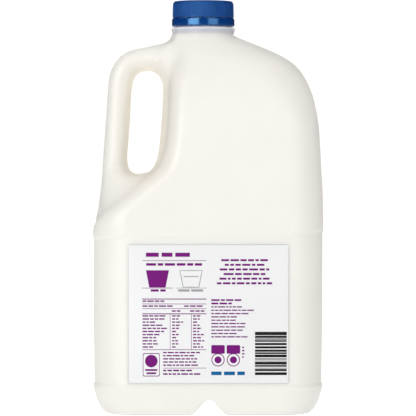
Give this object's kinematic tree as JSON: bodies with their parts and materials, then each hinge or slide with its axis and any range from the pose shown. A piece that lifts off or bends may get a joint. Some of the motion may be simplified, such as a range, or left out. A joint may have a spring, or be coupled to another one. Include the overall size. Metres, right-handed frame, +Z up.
{
  "type": "milk jug",
  "caption": "Large blown plastic milk jug, full to the neck, with a hollow side handle and finger gap, a ribbed screw cap with its tamper band, and a label panel on each broad side.",
  "frame": {"origin": "centre of the footprint of the whole object, on the plane it stands on", "axes": "+Z up to the cap, +X from the handle to the plain side, +Y from the shown label to the one on the far side"},
  "size_m": [0.152, 0.1054, 0.2724],
  "materials": {
    "bottle": "milky translucent blown polyethylene with a soft satin skin",
    "milk": "opaque white milk with a warm cast",
    "cap": "deep blue moulded plastic, finely ribbed above and smooth and glossy on the band",
    "label": "thin white film label with a satin surface"
  },
  "bodies": {
    "root": {"jug": "bottle", "milk": "milk", "cap": "cap", "tamper_band": "cap", "label_info": "label", "label_main": "label"}
  },
  "joints": []
}
